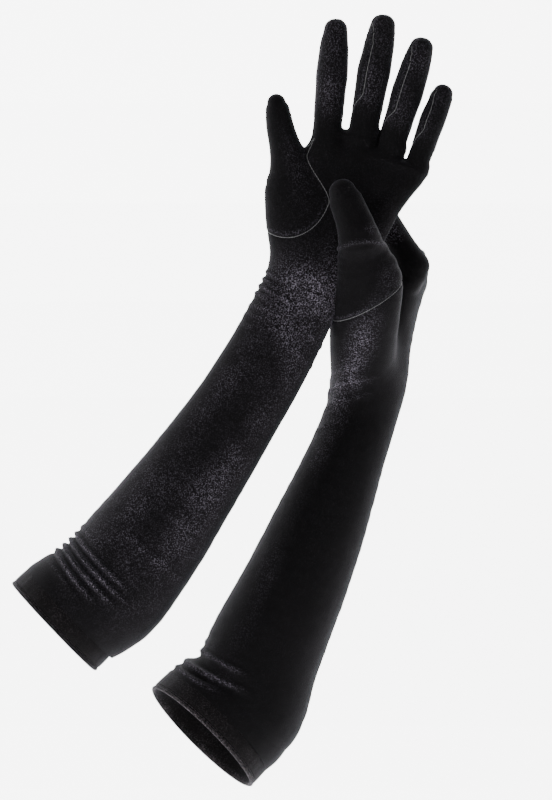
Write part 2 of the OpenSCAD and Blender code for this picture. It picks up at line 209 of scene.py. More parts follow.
class Glove:
    def __init__(self, name):
        self.name = name
        self.left = name == "left"
        mount = MOUNTS[name + "_arm_opening"]
        self.hem = np.array(mount["pos_m"]) * MM
        self.hem_way = -unit(np.array(mount["axis"]))
        self.hem_r = mount["dims"]["r_mm"] + HEM_THICK
        self.elbow = joint(name + "_elbow")
        self.wrist = joint(name + "_wrist")
        self.knuckle = [joint(f"{name}_{f}_knuckle") for f in FINGERS]
        self.middle = [joint(f"{name}_{f}_middle") for f in FINGERS]
        self.tip = [tip_of(f"{name}_{f}_trank_upper", m) for f, m in zip(FINGERS, self.middle)]
        self.thumb_root = joint(name + "_thumb_root")
        self.thumb_mid = joint(name + "_thumb_middle")
        self.thumb_tip = tip_of(name + "_thumb_upper", self.thumb_mid)
        self.finger_way = [unit(m - k) for k, m in zip(self.knuckle, self.middle)]
        self.end_way = [unit(t - m) for m, t in zip(self.middle, self.tip)]
        self.thumb_way = unit(self.thumb_mid - self.thumb_root)
        self.thumb_end_way = unit(self.thumb_tip - self.thumb_mid)
        self.arm_way = unit(self.wrist - self.elbow)
        self.arm_side = side_of(self.arm_way)
        self.sleeve = self.make_sleeve()
        self.fingers = [self.make_finger(i) for i in range(4)]
        self.thumb = self.make_thumb()
        self.crotch = [self.make_crotch(i) for i in range(3)]

    def make_sleeve(self):
        """Upper sleeve, forearm, wrist and palm."""
        elbow_half = 46.6
        wrist_half = (31.0, 20.5) if self.left else (27.2, 28.5)
        start = self.hem - self.hem_way * 25
        cuff_top = self.hem + self.hem_way * HEM_WIDTH
        rows = [
            (start, self.hem_r, self.hem_r),
            (self.hem, self.hem_r, self.hem_r),
            (cuff_top, self.hem_r - 0.5, self.hem_r - 0.5),
            (self.elbow + (0 if self.left else 2.6) * self.arm_side, elbow_half + (0 if self.left else 0.5), elbow_half),
        ]
        for t, half, bow in FOREARM[self.name]:
            deep = mix(wrist_half[1], elbow_half, (half - wrist_half[0]) / (elbow_half - wrist_half[0]))
            rows.append((mix(self.elbow, self.wrist, t) + self.arm_side * bow, half, deep))
        rows.append((self.wrist, *wrist_half))
        if self.left:
            self.hand_way = unit(self.knuckle[1] - self.wrist + side_of(self.arm_way) * 8)
            hand_side = side_of(self.hand_way)
            reach = float((self.knuckle[1] - self.wrist) @ self.hand_way)
            for t, half, deep, shift in (
                (0.2, 31.0, 18.5, 2.0), (0.4, 35.6, 16, 5.8), (0.6, 38.8, 14.2, 5.9), (0.76, 42.2, 12.6, 4.4),
            ):
                rows.append((self.wrist + self.hand_way * reach * t + hand_side * shift, half, deep))
        else:
            knuckles = sum(self.knuckle) / 4
            root = knuckles - self.finger_way[1] * 27 + vec(-9, 0, -4)
            self.hand_way = unit(root - self.wrist)
            rows += [
                (mix(self.wrist, root, 0.37) + vec(-5, 0, 0), 26.0, 33),
                (mix(self.wrist, root, 0.70) + vec(-4.5, 0, 0), 21.5, 38),
                (root + vec(-0.5, 0, 0), 16.5, 40),
            ]
        return Tube(rows, spacing=11)

    def make_finger(self, i):
        half = FINGER_HALF[FINGERS[i]]
        way = self.finger_way[i]
        lean = vec(FINGER_LEAN[i] if self.left else 0.0, 0, 0)
        knuckle, middle, tip = self.knuckle[i] + 0.3 * lean, self.middle[i] + lean, self.tip[i] + lean
        short_by = 0.45 if self.left and i < 3 else 0.66
        outward = 0.0 if self.left else 2.0
        across = 1.0 if self.left else FINGER_FLAT
        deep = FINGER_FLAT if self.left else 1.0
        palm_end = mix(self.wrist, knuckle, 0.5) if self.left else knuckle - way * 25 + vec(-7, 0, -4)
        rows = [
            (palm_end, 10.5, 9.5) if self.left else (palm_end, 11, 10.5),
            (knuckle - way * (21 if self.left else 18), (half + 0.4 + outward) * across, (half + 0.6) * deep),
            (knuckle - way * 8, (half - 0.7 + outward * 0.8) * across, (half + 0.2) * deep),
            (knuckle + way * 3, half * (0.95 if self.left else 1.0) * across, half * deep),
            (mix(knuckle, middle, 0.6), half * 0.97 * across, half * 0.97 * deep),
            (middle, half * across, half * 1.01 * deep),
            (mix(middle, tip, 0.34), half * 0.96 * across, half * 0.95 * deep),
            (mix(middle, tip, 0.62), half * 0.91 * across, half * 0.89 * deep),
            (tip - self.end_way[i] * half * short_by, half * 0.77 * across, half * 0.73 * deep),
        ]
        return Tube(rows, spacing=7, cap=1.04)

    def make_thumb(self):
        root, mid, tip = self.thumb_root, self.thumb_mid, self.thumb_tip
        way, end = self.thumb_way, self.thumb_end_way
        if self.left:
            side = side_of(self.hand_way)
            base = self.wrist + self.hand_way * 26 - side * 10 + vec(0, -4, 0)
            swell = root - way * 13 - side * 4.5 + vec(0, 1, 0)
            rows = [
                (base, 18.0, 14), (mix(base, swell, 0.55) - side * 1.6, 20.2, 15.5), (swell, 20.4, 14.2),
                (root - way * 1 - side * 2.4, 16.4, 12.4), (root + way * 10 - side * 0.8, 13.8, 11.4),
                (mix(root, mid, 0.62), 11.8, 10.8),
            ]
        else:
            heel = self.wrist + vec(-7.0, -12, 1)
            ball = self.wrist + vec(-2.0, 0, 80)
            ball[1] = -12.0
            rows = [
                (heel, 23.5, 22), (mix(heel, ball, 0.38) + vec(-1.5, -3, 0), 25.5, 21),
                (mix(heel, ball, 0.72) + vec(-1.0, -4, 0), 26.5, 19), (ball, 25.0, 17),
                (ball + vec(-5.5, -9, 19), 19.0, 14.5), (mix(ball, mid, 0.88) + vec(-0.5, -3, 0), 15.6, 12.5),
                (mix(mid, tip, 0.22), 13.8, 11.5), (mix(mid, tip, 0.55), 12.8, 10.6),
                (tip - end * 10.0, 10.2, 9.0),
            ]
            return Tube(rows, spacing=7, cap=1.05)
        rows += [
            (mid, THUMB_HALF + 1.0, THUMB_HALF + 0.8),
            (mix(mid, tip, 0.4), THUMB_HALF - 0.1, THUMB_HALF - 0.2),
            (tip - end * 10.5, THUMB_HALF * 0.76, THUMB_HALF * 0.75),
        ]
        return Tube(rows, spacing=7, cap=1.05)

    def make_crotch(self, i):
        """Where two neighbouring fingers part, and the way out between them."""
        way = unit(self.finger_way[i] + self.finger_way[i + 1])
        middle = (self.knuckle[i] + self.knuckle[i + 1]) / 2
        drop = (-6.0, 5.5, 10.0)[i] if self.left else 6.0
        return middle - way * drop, way

    def field(self, points):
        """Signed distance to the glove's skin, near enough to find it by."""
        skin = smin(self.sleeve.measure(points)[0], self.thumb.measure(points)[0], 11.5)
        for i, finger in enumerate(self.fingers):
            pairs = [self.crotch[j] for j in (i - 1, i) if 0 <= j < 3]
            below = np.full(len(points), FAR)
            for place, way in pairs:
                below = np.minimum(below, (place - points) @ way)
            web = 0.8 + 14 * smoothstep(0, 9, below) * (1 - 0.65 * smoothstep(8, 17, below))
            skin = smin(skin, finger.measure(points)[0], web)
        return skin


# ---------------------------------------------------------------- skin of a glove

def surface_net(field, low, high, step):
    """Quads on the field's zero surface. Only blocks near the surface are sampled finely."""
    block = 6
    count = np.ceil((high - low) / step / block).astype(int) * block + 1
    size = count // block + 1
    coarse_axes = [low[i] + (np.arange(size[i]) + 0.5) * block * step for i in range(3)]
    coarse = np.stack(np.meshgrid(*coarse_axes, indexing="ij"), -1).reshape(-1, 3)
    rough = field(coarse).reshape(size)
    values = np.repeat(np.repeat(np.repeat(rough, block, 0), block, 1), block, 2)
    values = values[:count[0], :count[1], :count[2]].copy()
    fine = np.abs(values) < block * step * 1.7
    where = np.argwhere(fine)
    values[fine] = field(low + where * step)
    sign = values < 0

    corner = [(i, j, k) for i in (0, 1) for j in (0, 1) for k in (0, 1)]
    cells = np.zeros(count - 1, int)
    for i, j, k in corner:
        cells += sign[i:count[0] - 1 + i, j:count[1] - 1 + j, k:count[2] - 1 + k]
    mixed = np.argwhere((cells > 0) & (cells < 8))
    index = np.full(count - 1, -1)
    index[tuple(mixed.T)] = np.arange(len(mixed))
    total = np.zeros((len(mixed), 3))
    hits = np.zeros(len(mixed))
    for a in corner:
        for axis in range(3):
            if a[axis]:
                continue
            b = tuple(1 if n == axis else a[n] for n in range(3))
            va = values[tuple((mixed + a).T)]
            vb = values[tuple((mixed + b).T)]
            cross = (va < 0) != (vb < 0)
            t = np.where(cross, va / np.where(cross, va - vb, 1), 0)
            point = np.array(a, float)[None] + t[:, None] * (np.array(b) - np.array(a))[None]
            total[cross] += point[cross]
            hits[cross] += 1
    points = low + (mixed + total / hits[:, None]) * step

    quads = []
    for axis in range(3):
        one, two = [n for n in range(3) if n != axis]
        ends = [slice(None)] * 3
        ends[axis] = slice(0, count[axis] - 1)
        nexts = list(ends)
        nexts[axis] = slice(1, count[axis])
        here, there = sign[tuple(ends)], sign[tuple(nexts)]
        edge = np.argwhere(here != there)
        inner = (edge[:, one] > 0) & (edge[:, two] > 0)
        inner &= (edge[:, one] < count[one] - 1) & (edge[:, two] < count[two] - 1)
        edge = edge[inner]
        ring = []
        for d1, d2 in ((-1, -1), (0, -1), (0, 0), (-1, 0)):
            cell = edge.copy()
            cell[:, one] += d1
            cell[:, two] += d2
            ring.append(index[tuple(cell.T)])
        quad = np.stack(ring, 1)
        flip = here[tuple(edge.T)] == (axis == 1)
        quad[flip] = quad[flip][:, ::-1]
        quads.append(quad)
    return points, np.vstack(quads)


def gradient(field, points):
    h = 0.4
    return np.stack([(field(points + h * e) - field(points - h * e)) / (2 * h) for e in np.eye(3)], 1)


def settle(field, points, quads):
    """Evens the net out and brings each point onto the surface."""
    pairs = np.vstack([quads[:, [i, (i + 1) % 4]] for i in range(4)])
    for turn in range(3):
        total = np.zeros_like(points)
        for i in range(3):
            total[:, i] = np.bincount(pairs[:, 0], points[pairs[:, 1], i], len(points))
            total[:, i] += np.bincount(pairs[:, 1], points[pairs[:, 0], i], len(points))
        hits = np.bincount(pairs.ravel(), minlength=len(points))
        points = mix(points, total / hits[:, None], 0.5)
        slope = gradient(field, points)
        steep = np.maximum((slope * slope).sum(1), 0.1)
        step = slope * (field(points) / steep)[:, None]
        length = np.linalg.norm(step, axis=1)
        points = points - step * np.minimum(1, 2.0 / np.maximum(length, 1e-9))[:, None]
    return points


def to_triangles(points, quads):
    a, b, c, d = (points[quads[:, i]] for i in range(4))
    first = np.linalg.norm(a - c, axis=1) < np.linalg.norm(b - d, axis=1)
    tris = [quads[first][:, [0, 1, 2]], quads[first][:, [0, 2, 3]],
            quads[~first][:, [0, 1, 3]], quads[~first][:, [1, 2, 3]]]
    return np.vstack(tris)


def vertex_normals(points, tris):
    a, b, c = (points[tris[:, i]] for i in range(3))
    face = np.cross(b - a, c - a)
    out = np.zeros_like(points)
    for i in range(3):
        for k in range(3):
            out[:, i] += np.bincount(tris[:, k], face[:, i], len(points))
    return out / np.maximum(np.linalg.norm(out, axis=1), 1e-12)[:, None]


class Skin:
    """A triangle mesh that can be cut along the zero line of a value. base is each point before
    folds and seams are pressed in, and label names each triangle's panel."""

    def __init__(self, base, tris):
        self.base = base
        self.place = base.copy()
        self.tris = tris
        self.label = np.zeros(len(tris), int)

    def cut(self, value, chosen):
        """Splits the chosen triangles along value = 0. Returns value for every point."""
        value = np.where(np.abs(value) < 0.12, 0.0, value)
        tris = self.tris
        pair = np.sort(np.vstack([tris[:, [0, 1]], tris[:, [1, 2]], tris[:, [2, 0]]]), axis=1)
        key = pair[:, 0] * len(self.base) + pair[:, 1]
        _, first, back = np.unique(key, return_index=True, return_inverse=True)
        edge = pair[first]
        used = np.zeros(len(edge), bool)
        used[back[np.tile(chosen, 3)]] = True
        crossing = used & (value[edge[:, 0]] * value[edge[:, 1]] < 0)
        fresh = np.full(len(edge), -1)
        fresh[crossing] = len(self.base) + np.arange(crossing.sum())
        e = edge[crossing]
        t = (value[e[:, 0]] / (value[e[:, 0]] - value[e[:, 1]]))[:, None]
        self.base = np.vstack([self.base, mix(self.base[e[:, 0]], self.base[e[:, 1]], t)])
        self.place = np.vstack([self.place, mix(self.place[e[:, 0]], self.place[e[:, 1]], t)])
        value = np.concatenate([value, np.zeros(len(e))])
        middle = fresh[back].reshape(3, -1).T
        count = (middle >= 0).sum(1)
        new, label = [tris[count == 0]], [self.label[count == 0]]
        for i in range(3):
            j, k = (i + 1) % 3, (i + 2) % 3
            one = (count == 1) & (middle[:, i] >= 0)
            a, b, c, m = tris[one, i], tris[one, j], tris[one, k], middle[one, i]
            new += [np.stack([a, m, c], 1), np.stack([m, b, c], 1)]
            label += [self.label[one]] * 2
            two = (count == 2) & (middle[:, k] < 0)
            a, b, c = tris[two, i], tris[two, j], tris[two, k]
            m, n = middle[two, i], middle[two, j]
            new += [np.stack([m, b, n], 1), np.stack([a, m, n], 1), np.stack([a, n, c], 1)]
            label += [self.label[two]] * 3
        self.tris = np.vstack(new)
        self.label = np.concatenate(label)
        return value

    def split(self, value, old, new, where=None):
        """Cuts the triangles labelled old along value = 0, and returns value and each triangle's mean of it. new is
        not used.
        """
        chosen = self.label == old
        if where is not None:
            chosen &= where
        value = self.cut(value, chosen)
        mean = value[self.tris].mean(1)
        return value, mean


def build_skin(glove):
    tubes = [glove.sleeve, glove.thumb, *glove.fingers]
    low = np.min([t.rows[:, :3].min(0) - t.rows[:, 3:].max() for t in tubes], 0) - 6
    high = np.max([t.rows[:, :3].max(0) + t.rows[:, 3:].max() for t in tubes], 0) + 6
    points, quads = surface_net(glove.field, low, high, GRID)
    points = settle(glove.field, points, quads)
    tris = to_triangles(points, quads)
    skin = Skin(points, tris)
    # the tube beyond the hem's seam is only there to keep the edge clean
    value = skin.cut((skin.base - glove.hem) @ glove.hem_way - HEM_WIDTH, np.ones(len(tris), bool))
    keep = value[skin.tris].mean(1) > 0
    used, back = np.unique(skin.tris[keep], return_inverse=True)
    return Skin(skin.base[used], back.reshape(-1, 3))


# ---------------------------------------------------------------- folds and seams

def ridge(along, centre, width, height):
    """A soft fold: a narrow crest with a wider trough on each side."""
    x = (along - centre) / width
    return height * (np.exp(-x * x) - 0.5 * np.exp(-((np.abs(x) - 1.7) / 0.9) ** 2))


# Folds round the sleeve: distance from the joint, drift along the sleeve for each degree round
# it, the angles between which the fold is full, width and height. 180 degrees is the side of
# the thumb, and 270 faces the viewer.
ELBOW_FOLDS = {
    "left": ((14.2, -0.01, 172, 262, 2.2, 2.3), (7.8, -0.02, 166, 268, 2.1, 2.6), (1.2, -0.03, 165, 262, 2.2, 2.5),
             (-5.2, -0.05, 168, 248, 2.1, 2.2), (21.5, 0.02, 150, 215, 2.8, 0.9), (-14, -0.05, 190, 235, 3.0, 0.6),
             (36, 0.08, 250, 330, 5.0, 0.6)),
    "right": ((25.5, -0.012, 174, 240, 2.5, 1.9), (14.6, -0.04, 172, 246, 2.4, 2.1), (7.0, -0.05, 174, 226, 2.2, 1.7),
              (0.5, -0.05, 176, 212, 2.2, 1.3), (33, 0.03, 168, 205, 3.0, 0.8)),
}
WRIST_FOLDS = {
    "left": ((0.5, 0.02, 176, 226, 1.9, 1.5), (6.8, 0.01, 174, 236, 1.8, 1.4), (13.0, -0.02, 174, 222, 1.8, 1.3),
             (19.0, -0.03, 176, 212, 1.7, 1.0), (-8.5, 0.04, 180, 240, 2.4, 0.9), (-17, 0.10, 184, 236, 2.6, 0.8),
             (-28, 0.14, 196, 250, 3.2, 0.6), (-12, -0.10, 300, 352, 2.4, 0.6), (3, -0.08, 306, 356, 2.2, 0.7)),
    "right": ((-1, 0.20, 184, 262, 2.4, 1.1), (-12, 0.26, 184, 268, 2.6, 1.2), (-24, 0.28, 190, 262, 2.8, 0.8),
              (9, 0.12, 180, 232, 2.2, 0.8), (-40, 0.22, 186, 240, 3.4, 0.6)),
}
FADE = 34.0


def fold_set(folds, along, angle):
    lift = np.zeros(len(along))
    for shift, drift, low, high, width, height in folds:
        here = angle % 360
        fade = smoothstep(low + 14 - FADE, low + 22, here) * (1 - smoothstep(high - 8, high + FADE, here))
        sway = 1.1 * np.sin(np.radians(here * 2.3) + shift)
        centre = shift + drift * (here - 180) + sway
        lift += ridge(along, centre, width * (1.25 - 0.35 * fade), height * fade)
    return lift


def sleeve_folds(glove, points, place):
    """Creases of the sleeve at the elbow and the wrist."""
    along, s, d = place.T
    angle = np.degrees(np.arctan2(d, s))
    at_wrist = glove.sleeve.measure(glove.wrist[None], True)[1][0, 0]
    way = glove.hem_way if glove.left else glove.arm_way
    lift = fold_set(ELBOW_FOLDS[glove.name], (points - glove.elbow) @ way, angle)
    return lift + fold_set(WRIST_FOLDS[glove.name], along - at_wrist, angle)


def finger_folds(glove, finger, i, place, dist):
    """Creases on the inside of each finger joint, and a slight swell at the joint."""
    along, s, d = place.T
    at = finger.measure(glove.middle[i][None], True)[1][0, 0]
    rest = finger.length[-1] - at
    inside = -d if glove.left else -s
    facing = smoothstep(-0.2, 0.9, inside / FINGER_HALF[FINGERS[i]])
    near = smoothstep(4.5, 0.5, dist)
    lift = -0.5 * np.exp(-((along - at) / 1.5) ** 2) * facing
    lift -= 0.35 * np.exp(-((along - at - 3.4) / 1.2) ** 2) * facing
    lift -= 0.45 * np.exp(-((along - at - 0.53 * rest) / 1.4) ** 2) * facing
    lift += 0.3 * np.exp(-((along - at) / 7) ** 2)
    return lift * near


def cloth_waves(points):
    """Slight unevenness of stretched cloth."""
    out = np.empty(len(points))
    for n, p in enumerate(points):
        out[n] = 0.42 * noise.noise(Vector(p / 31.0)) + 0.16 * noise.noise(Vector(p / 9.0 + 7.0))
    return out


def thumb_crease(glove, points):
    """Height above the crease across the bent thumb's base, and the middle of the crease."""
    rel = points - (glove.thumb_mid + vec(7.5, 0, -9))
    height = rel[:, 2] + 5 * (rel[:, 0] / 22) ** 2
    on_thumb = (np.abs(glove.thumb.measure(points)[0]) < 3) & (np.abs(rel[:, 0]) < 30) & (points[:, 1] < 0)
    return np.where(on_thumb, height, FAR), 0.0


def press_folds(glove, skin):
    normal = vertex_normals(skin.base, skin.tris)
    dist, place = glove.sleeve.measure(skin.base, True)
    lift = sleeve_folds(glove, skin.base, place) * smoothstep(9, 1, np.abs(dist))
    for i, finger in enumerate(glove.fingers):
        d, p = finger.measure(skin.base)
        lift += finger_folds(glove, finger, i, p, np.abs(d))
    lift += cloth_waves(skin.base)
    if not glove.left:
        lift += 0.8 * ridge(*thumb_crease(glove, skin.base), 1.6, 1.0)
    hem_gap = (skin.base - glove.hem) @ glove.hem_way - HEM_WIDTH
    near_hem = np.linalg.norm(skin.base - glove.hem, axis=1) < 1.5 * glove.hem_r
    lift *= np.where(near_hem, smoothstep(0, 6, hem_gap), 1)
    skin.place = skin.base + normal * lift[:, None]


# Patches of painted sheen and highlight, where the light falls on the gloves: joint, distance along
# the limb's way and across it, reach along and across it, and how much
SHEEN_PATCHES = {
    "left": (("wrist", 8, 4, 30, 26, 1.15), ("wrist", -28, 12, 30, 22, 0.5), ("elbow", 76, 26, 68, 18, 0.5),
             ("elbow", 55, -18, 50, 20, 0.5), ("elbow", 175, -12, 70, 10, 0.3), ("elbow", 130, 25, 70, 12, 0.3),
             ("thumb_root", 0, 6, 26, 9, 0.35), ("wrist", 60, 22, 30, 24, 0.25)),
    "right": (("wrist", 14, -20, 40, 11, 1.1), ("wrist", -38, -16, 46, 9, 0.45), ("elbow", 90, -20, 80, 12, 0.25),
              ("thumb_root", 18, 8, 16, 9, 0.35), ("elbow", 18, -30, 26, 22, 0.12)),
}
# the least painted sheen, where no light falls
LEAST_SHEEN = 0.10


def painted_sheen_of(glove, points):
    """Painted sheen and highlights: patches where the light falls, bands along the fingers, and more over the whole
    left glove.
    """
    out = np.full(len(points), LEAST_SHEEN)
    # painted light: the left glove, more in the light, gets more painted sheen all over
    if glove.left:
        out += 0.12
    places = {"wrist": (glove.wrist, glove.arm_way), "elbow": (glove.elbow, glove.arm_way),
              "thumb_root": (glove.thumb_root, glove.thumb_way)}
    for name, along, across, reach, spread, amount in SHEEN_PATCHES[glove.name]:
        at, way = places[name]
        rel = points - at
        x = (rel @ way - along) / reach
        y = (rel @ side_of(way) - across) / spread
        out += amount * np.exp(-x * x - y * y)
    # painted highlights along the fingers, strongest on the index finger
    for i, finger in enumerate(glove.fingers):
        dist, place = finger.measure(points)
        on = smoothstep(5, 1, np.abs(dist)) * smoothstep(-4, 14, (points - glove.knuckle[i]) @ glove.finger_way[i])
        out += on * (0.45, 0.34, 0.30, 0.22)[i] * (0.6 + 0.4 * np.cos(place[:, 1] / 6.0))
    return out


# ---------------------------------------------------------------- cutting the panels

class Panels:
    """Cuts a glove's skin into named panels and keeps the seams' lines."""

    def __init__(self, glove, skin):
        self.glove, self.skin = glove, skin
        self.names = ["hand"]
        self.seams = []

    def number(self, name):
        if name not in self.names:
            self.names.append(name)
        return self.names.index(name)

    def split(self, old, new, value_of, near=None, seam=False):
        """Where value_of(points) > 0, panel old becomes panel new."""
        skin = self.skin
        value = value_of(skin.base)
        chosen = skin.label == self.number(old)
        if near is not None:
            chosen &= near(skin.base)[skin.tris].any(1)
        value = skin.cut(value, chosen)
        mean = value[skin.tris].mean(1)
        turn = (skin.label == self.number(old)) & (mean > 0)
        if near is not None:
            turn &= near(skin.base)[skin.tris].all(1)
        skin.label[turn] = self.number(new)
        if seam:
            self.seams.append((value_of, (self.number(old), self.number(new))))

    def press_seams(self):
        skin = self.skin
        normal = vertex_normals(skin.place, skin.tris)
        sink = np.zeros(len(skin.base))
        roll = np.zeros(len(skin.base))
        for value_of, labels in self.seams:
            touched = np.zeros(len(skin.base), bool)
            touched[skin.tris[np.isin(skin.label, labels)].ravel()] = True
            value = value_of(skin.base[touched])
            sink[touched] = np.maximum(sink[touched], SEAM_DEPTH * np.exp(-(value / SEAM_WIDTH) ** 2))
            beside = np.exp(-((np.abs(value) - SEAM_ROLL) / 1.0) ** 2)
            roll[touched] = np.maximum(roll[touched], beside)
        skin.place = skin.place + normal * (ROLL_HEIGHT * roll - sink)[:, None]
        return roll


def finger_value(finger, kind):
    """Place of points in a finger's section, as an angle and a radius."""
    def value_of(points):
        _, place = finger.measure(points, True)
        return kind(place)
    return value_of


def cut_fingers(glove, panels):
    palm_angle = -90 if glove.left else 180
    turn = 1 if glove.left else -1
    roll = 27 if glove.left else 0
    for i, f in enumerate(FINGERS):
        finger, way, knuckle, middle = glove.fingers[i], glove.finger_way[i], glove.knuckle[i], glove.middle[i]
        others = [glove.fingers[j] for j in range(4) if j != i]
        span = float(np.linalg.norm(middle - knuckle))
        root_at = finger.measure((knuckle + way * 2.5)[None], True)[1][0, 0]

        def near(points, finger=finger, others=others, way=way, knuckle=knuckle):
            mine = finger.measure(points)[0]
            theirs = np.min([o.measure(points)[0] for o in others], 0)
            return (mine < theirs) & (mine < 6) & ((points - knuckle) @ way > -4)

        panels.split("hand", f"{f}_trank_lower", lambda p: (p - knuckle) @ way - 2.5, near)

        for side in [n for n in (-1, 1) if 0 <= i + n <= 3]:
            def strip(place, side=side, finger=finger, root_at=root_at):
                along, s, d = place.T
                angle = np.degrees(np.arctan2(d, s))
                out = smoothstep(0, 14, along - root_at)
                centre = palm_angle + 90 * side * turn + roll * out
                end = finger.length[-1] - 1.0
                half = mix(18.0, 35.0, out) * np.sqrt(np.clip((end - along) / 14, 0, 1))
                radius = np.hypot(s, d)
                return (half - np.abs(wrap(angle - centre))) * np.radians(1) * radius
            panels.split(f"{f}_trank_lower", f"{f}_fourchette_lower", finger_value(finger, strip), seam=True)

        if i in (0, 3):
            outer = palm_angle + (-90 if i == 0 else 90) * turn

            def outer_seam(place, outer=outer, finger=finger):
                _, s, d = place.T
                angle = np.degrees(np.arctan2(d, s))
                far = np.abs(wrap(angle - outer - roll * 0.5))
                value = np.where(far < 90, wrap(angle - outer - roll * 0.5), 60.0)
                return value * np.radians(1) * np.hypot(s, d)
            panels.seams.append((finger_value(finger, outer_seam), (panels.number(f"{f}_trank_lower"),)))

        cut_at = knuckle + way * span * 0.52
        for part in ("trank", "fourchette"):
            panels.split(f"{f}_{part}_lower", f"{f}_{part}_upper", lambda p: (p - cut_at) @ way)
        labels = (panels.number(f"{f}_trank_upper"), panels.number(f"{f}_fourchette_upper"))
        lower = (panels.number(f"{f}_trank_lower"), panels.number(f"{f}_fourchette_lower"))
        panels.seams = [
            (value, tuple(set(old) | set(labels))) if set(old) & set(lower) else (value, old)
            for value, old in panels.seams
        ]


def cut_thumb(glove, panels):
    root, mid, way = glove.thumb_root, glove.thumb_mid, glove.thumb_way
    if glove.left:
        hole = root + vec(-1.5, 0, -14)
        side, up = side_of(glove.hand_way), glove.hand_way

        def hole_value(points):
            rel = points - hole
            slide = np.clip(points[:, 1] + 6, 0, 30) * 1.15
            rise = rel @ up
            x = (rel @ side + slide + 30 * smoothstep(4, 34, rise)) / 29.5
            z = np.minimum(rise, 0) / 34.0
            return (1 - np.sqrt(x * x + z * z)) * 30
    else:
        side = unit(vec(-0.50, -0.42, 0.76))
        seam_at = root + vec(-3, 0, 5)

        def hole_value(points):
            thumb = glove.thumb.measure(points)[0]
            palm = np.minimum(glove.sleeve.measure(points)[0],
                              np.min([f.measure(points)[0] for f in glove.fingers], 0))
            return np.minimum((points - seam_at) @ side, palm - thumb - 1.0)
    panels.split("hand", "thumb_lower", hole_value, seam=True)
    share = 0.60
    panels.split("thumb_lower", "thumb_upper", lambda p: (p - mix(root, mid, share)) @ way)


def cut_sleeve(glove, panels):
    arm = glove.arm_way

    def toward_back(points):
        _, place = glove.sleeve.measure(points, True)
        return place[:, 2] if glove.left else place[:, 1]

    forearm_at = glove.wrist - arm * 42
    cuff_at = glove.elbow - glove.hem_way * (16 if glove.left else 13)
    reach = 2.4 * glove.hem_r
    panels.split("hand", "forearm", lambda p: (forearm_at - p) @ arm)
    panels.split("forearm", "cuff", lambda p: (cuff_at - p) @ glove.hem_way,
                 lambda p: np.linalg.norm(p - cuff_at, axis=1) < reach)
    for whole, front, back in (("hand", "palm_panel", "back_panel"),
                               ("forearm", "forearm_front", "forearm_back"),
                               ("cuff", "cuff_front", "cuff_back")):
        panels.split(whole, back, toward_back, seam=glove.left)
        skin = panels.skin
        skin.label[skin.label == panels.number(whole)] = panels.number(front)
        if glove.left:
            panels.seams[-1] = (panels.seams[-1][0], (panels.number(front), panels.number(back)))


# ---------------------------------------------------------------- Blender pieces

def mesh_piece(name, points, tris, loop_normals, material):
    """A mesh object from points in millimetres and one normal per triangle corner."""
    mesh = bpy.data.meshes.new(name)
    mesh.vertices.add(len(points))
    mesh.vertices.foreach_set("co", (points / MM).astype(np.float32).ravel())
    mesh.loops.add(3 * len(tris))
    mesh.loops.foreach_set("vertex_index", tris.astype(np.int32).ravel())
    mesh.polygons.add(len(tris))
    mesh.polygons.foreach_set("loop_start", np.arange(0, 3 * len(tris), 3, dtype=np.int32))
    mesh.update(calc_edges=True)
    mesh.validate()
    mesh.polygons.foreach_set("use_smooth", np.ones(len(mesh.polygons), bool))
    if len(mesh.loops) == len(loop_normals):
        mesh.normals_split_custom_set(loop_normals.tolist())
    mesh.materials.append(material)
    obj = bpy.data.objects.new(name, mesh)
    bpy.context.scene.collection.objects.link(obj)
    return obj


def set_painted_sheen(piece, values):
    """How much sheen and highlight is painted into the velvet's colour at each point, from 0, none, to 1."""
    layer = piece.data.attributes.new("brushed", "FLOAT", "POINT")
    layer.data.foreach_set("value", values.astype(np.float32))


def cloth_shell(name, points, normals, tris, brushed, material, wall=WALL):
    """A panel of cloth: its outer face, its inner face and the edge between them."""
    used, back = np.unique(tris, return_inverse=True)
    tri = back.reshape(-1, 3)
    outer, normal = points[used], normals[used]
    inner = outer - normal * wall
    count = len(used)
    directed = np.vstack([tri[:, [0, 1]], tri[:, [1, 2]], tri[:, [2, 0]]])
    key = directed[:, 0] * count + directed[:, 1]
    twin = directed[:, 1] * count + directed[:, 0]
    rim = directed[~np.isin(key, twin)]
    a, b = rim[:, 0], rim[:, 1]
    rim_tris = np.vstack([np.stack([b, a, a + count], 1), np.stack([b, a + count, b + count], 1)])
    everything = np.vstack([outer, inner])
    all_tris = np.vstack([tri, tri[:, ::-1] + count, rim_tris])
    p = everything[rim_tris]
    flat = np.cross(p[:, 1] - p[:, 0], p[:, 2] - p[:, 0])
    flat /= np.maximum(np.linalg.norm(flat, axis=1), 1e-12)[:, None]
    loop_normals = np.vstack([
        normal[tri].reshape(-1, 3), -normal[tri[:, ::-1]].reshape(-1, 3), np.repeat(flat, 3, 0)
    ])
    q = everything[all_tris]
    area = float(np.linalg.norm(np.cross(q[:, 1] - q[:, 0], q[:, 2] - q[:, 0]), axis=1).sum() / 4)
    piece = mesh_piece(name, everything, all_tris, loop_normals, material)
    set_painted_sheen(piece, np.tile(brushed[used], 2))
    return piece, area


def declare_cloth(piece, area, length):
    """Works out the panel's cut size before it was stretched over the arm, and does nothing more with it. length is
    its stretched length.
    """
    flat = area / STRETCH / MM ** 2
    long_side = length / MM
    short_side = flat / (FILLED * long_side)
    if short_side < NARROWEST:
        short_side = NARROWEST
        long_side = max(flat / (FILLED * short_side), NARROWEST)


# ---------------------------------------------------------------- materials

def new_material(name):
    material = bpy.data.materials.new(name)
    material.use_nodes = True
    tree = material.node_tree
    return material, tree, tree.nodes["Principled BSDF"]


def node_of(tree, kind, **settings):
    made = tree.nodes.new(kind)
    for key, value in settings.items():
        setattr(made, key, value)
    return made


